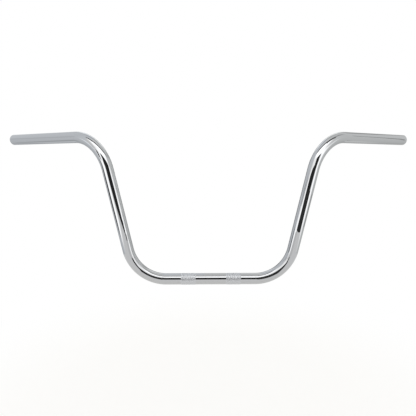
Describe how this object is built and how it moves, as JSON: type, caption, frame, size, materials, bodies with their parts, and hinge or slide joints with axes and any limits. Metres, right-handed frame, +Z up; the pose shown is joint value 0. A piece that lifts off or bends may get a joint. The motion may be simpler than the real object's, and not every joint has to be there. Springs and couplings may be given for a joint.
{
  "type": "ape hanger handlebar",
  "caption": "High-rise motorbike handlebar: a chromed steel tube bent up, out and back from a straight clamp run with knurled bands, its ends taking grips and controls.",
  "frame": {"origin": "middle of the clamp run, on the tube's axis, midway between the two knurled bands", "axes": "+X along the clamp run, +Y back towards the rider, the way the grips are pulled, +Z up the uprights"},
  "size_m": [0.8776, 0.1566, 0.301],
  "materials": {
    "chrome_plate": "bright chrome plate on polished steel, with a satin sheen on the knurled bands"
  },
  "bodies": {
    "root": {"handlebar": "chrome_plate"}
  },
  "joints": []
}
